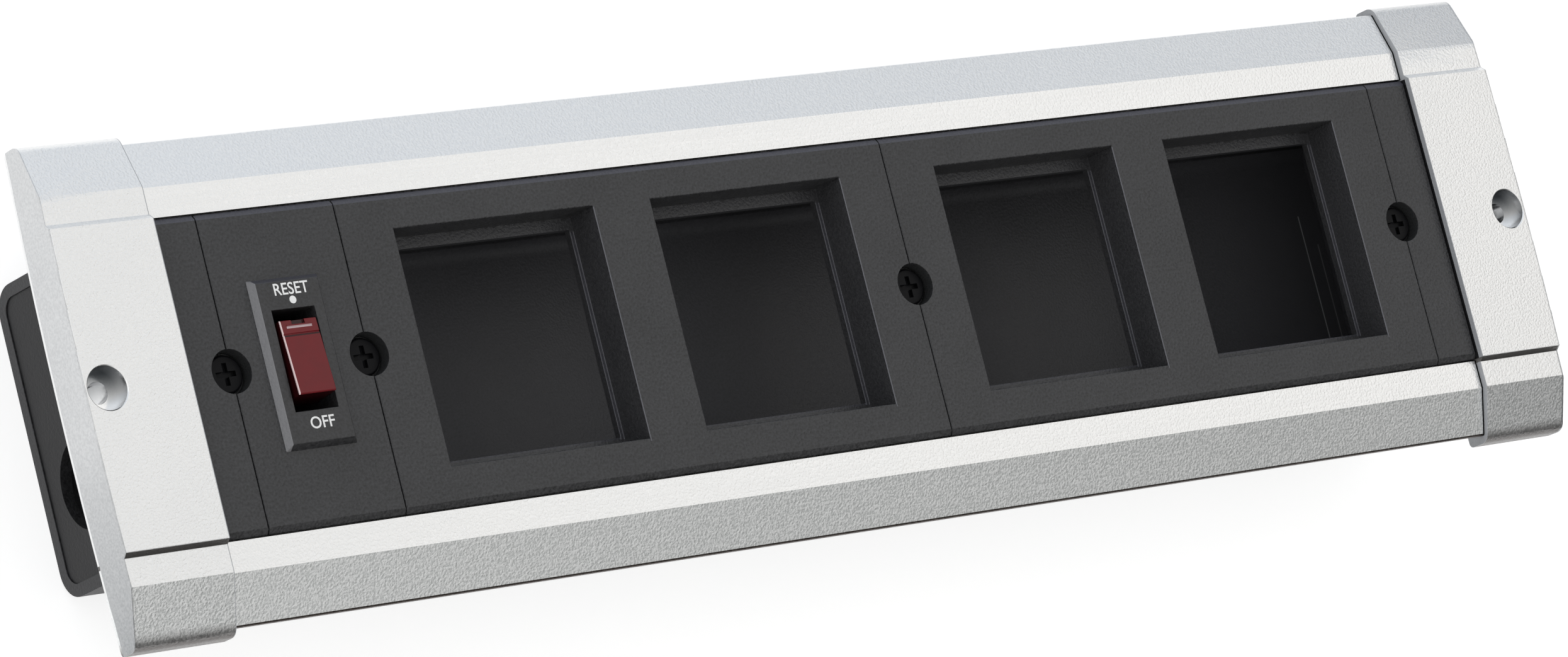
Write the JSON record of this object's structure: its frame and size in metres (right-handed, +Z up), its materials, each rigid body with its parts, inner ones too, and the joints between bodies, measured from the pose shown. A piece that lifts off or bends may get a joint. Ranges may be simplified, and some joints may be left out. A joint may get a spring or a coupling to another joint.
{
  "type": "in-desk power module",
  "caption": "Long aluminium-framed in-desk power module with square windows for snap-in sockets, a resettable rocker breaker and a black rear case with a cable hole.",
  "frame": {"origin": "mid-length on the centre line, on the flange underside that lies on the desk; also the middle between the two fixing holes", "axes": "+X along the module from the breaker end to the plain end, +Y across towards the reset side, +Z up out of the face"},
  "size_m": [0.3474, 0.0926, 0.047],
  "materials": {
    "anodised_rail": "satin anodised, fine grain along the length",
    "anodised_cap": "satin anodised, brushed end faces",
    "fascia_plastic": "fine matt texture",
    "breaker_plastic": "satin, slightly smoother than the fascia",
    "red_plastic": "dark red, polished",
    "case_plastic": "moulded, fine texture",
    "black_steel": "black passivated",
    "zinc_steel": "zinc plated",
    "brass": "drawn, slightly dull",
    "strip_steel": "rolled strip",
    "block_plastic": "natural, off-white"
  },
  "bodies": {
    "frame": {"rail_rear": "anodised_rail", "rail_front": "anodised_rail", "end_cap_left": "anodised_cap", "end_cap_right": "anodised_cap", "cap_screws": "zinc_steel", "filler_strip_left": "fascia_plastic", "filler_strip_right": "fascia_plastic", "breaker_plate": "fascia_plastic", "window_plate_left": "fascia_plastic", "window_plate_right": "fascia_plastic", "cross_bar_1": "zinc_steel", "cross_bar_2": "zinc_steel", "cross_bar_3": "zinc_steel", "cross_bar_4": "zinc_steel", "plate_screws": "black_steel", "breaker_housing": "breaker_plastic", "rocker_pin": "zinc_steel", "breaker_base": "breaker_plastic", "line_terminal": "brass", "load_terminal": "brass", "bimetal_strip": "strip_steel", "rear_case": "case_plastic", "case_end_left": "case_plastic", "case_end_right": "case_plastic", "case_screws": "zinc_steel", "terminal_block": "block_plastic", "terminal_clamps": "brass", "terminal_screws": "zinc_steel", "block_screws": "zinc_steel", "earth_tab": "brass", "earth_screw": "zinc_steel"},
    "rocker": {"breaker_rocker": "red_plastic"}
  },
  "joints": [
    {"name": "rocker_tilt", "type": "hinge", "parent": "frame", "child": "rocker", "pos_m": [-0.12705, 0.0007, 0.0074], "axis": [1, 0, 0], "range_deg": [0, 12]}
  ]
}
